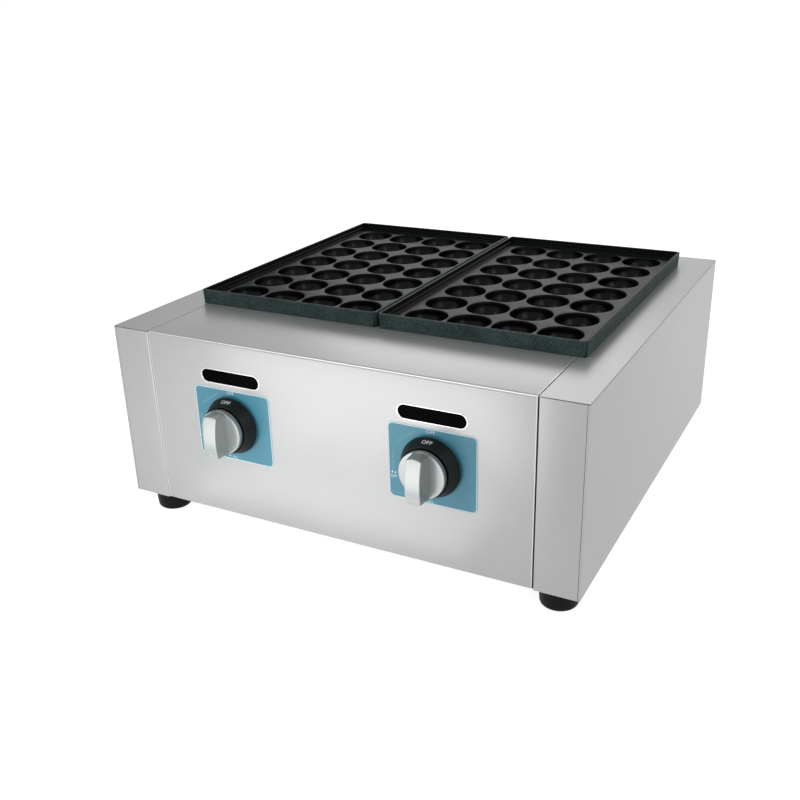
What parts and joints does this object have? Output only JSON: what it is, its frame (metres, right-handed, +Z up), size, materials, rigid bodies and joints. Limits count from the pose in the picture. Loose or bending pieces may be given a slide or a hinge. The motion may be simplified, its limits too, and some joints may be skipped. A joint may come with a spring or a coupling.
{
  "type": "takoyaki maker",
  "caption": "Countertop gas takoyaki grill: lift-off cast pans of hemispherical cups over burners in a stainless steel body, with push-and-turn gas knobs on the front.",
  "frame": {"origin": "on the table, under the middle of the part's box", "axes": "+X to the right of someone facing the knobs, +Y to the back, +Z up"},
  "size_m": [0.46, 0.52, 0.2083],
  "materials": {
    "sheet": "satin stainless sheet",
    "pan": "oiled dark casting",
    "burner": "rough casting",
    "zinc": "zinc plated",
    "brass": "machined brass",
    "knob_black": "moulded, satin",
    "knob_silver": "satin, bright edge",
    "label": "printed, satin",
    "sight_glass": "heat-proof dark glass",
    "ivory": "moulded",
    "lead": "silicone insulation",
    "ceramic": "glazed ceramic with a steel tip",
    "rubber": "moulded, matt"
  },
  "bodies": {
    "chassis": {"front_deck_panel": "sheet", "back_panel": "sheet", "left_side_housing": "sheet", "right_side_housing": "sheet", "base_plate": "sheet", "centre_pan_rail": "sheet", "front_heat_shield": "sheet", "middle_partition": "sheet", "left_burner": "burner", "right_burner": "burner", "left_burner_front_stand": "zinc", "right_burner_front_stand": "zinc", "left_burner_rear_stand": "zinc", "right_burner_rear_stand": "zinc", "left_gas_jet": "brass", "right_gas_jet": "brass", "left_valve_body": "brass", "right_valve_body": "brass", "left_label_plate": "label", "right_label_plate": "label", "left_sight_glass": "sight_glass", "right_sight_glass": "sight_glass", "left_glass_holder": "sheet", "right_glass_holder": "sheet", "left_piezo_igniter": "ivory", "right_piezo_igniter": "ivory", "left_ignition_lead": "lead", "right_ignition_lead": "lead", "left_spark_electrode": "ceramic", "right_spark_electrode": "ceramic", "manifold_pipe": "brass", "manifold_brackets": "zinc", "feed_pipe": "brass", "gas_inlet_nozzle": "brass", "inlet_locknut": "brass", "front_left_foot": "rubber", "front_right_foot": "rubber", "rear_left_foot": "rubber", "rear_right_foot": "rubber", "foot_screws": "zinc", "foot_nuts": "zinc", "base_screws": "zinc", "base_nuts": "zinc", "valve_screws": "zinc"},
    "left_pan_body": {"left_pan": "pan"},
    "left_tap": {"left_valve_plug": "brass", "left_valve_spring": "zinc"},
    "left_knob": {"left_valve_stem": "zinc", "left_knob_skirt": "knob_black", "left_knob_grip": "knob_silver"},
    "right_pan_body": {"right_pan": "pan"},
    "right_tap": {"right_valve_plug": "brass", "right_valve_spring": "zinc"},
    "right_knob": {"right_valve_stem": "zinc", "right_knob_skirt": "knob_black", "right_knob_grip": "knob_silver"}
  },
  "joints": [
    {"name": "left_pan_lift", "type": "slide", "parent": "chassis", "child": "left_pan_body", "axis": [0, 0, 1], "range_m": [0, 0.1]},
    {"name": "left_tap_turn", "type": "hinge", "parent": "chassis", "child": "left_tap", "pos_m": [-0.1, -0.1978, 0.117], "axis": [0, -1, 0], "range_deg": [0, 180]},
    {"name": "left_knob_push", "type": "slide", "parent": "left_tap", "child": "left_knob", "axis": [0, 1, 0], "range_m": [0, 0.0025], "stiffness_N_per_m": 1500, "springref_m": -0.003, "deforming": ["left_valve_spring"]},
    {"name": "right_pan_lift", "type": "slide", "parent": "chassis", "child": "right_pan_body", "axis": [0, 0, 1], "range_m": [0, 0.1]},
    {"name": "right_tap_turn", "type": "hinge", "parent": "chassis", "child": "right_tap", "pos_m": [0.1, -0.1978, 0.117], "axis": [0, -1, 0], "range_deg": [0, 180]},
    {"name": "right_knob_push", "type": "slide", "parent": "right_tap", "child": "right_knob", "axis": [0, 1, 0], "range_m": [0, 0.0025], "stiffness_N_per_m": 1500, "springref_m": -0.003, "deforming": ["right_valve_spring"]}
  ]
}
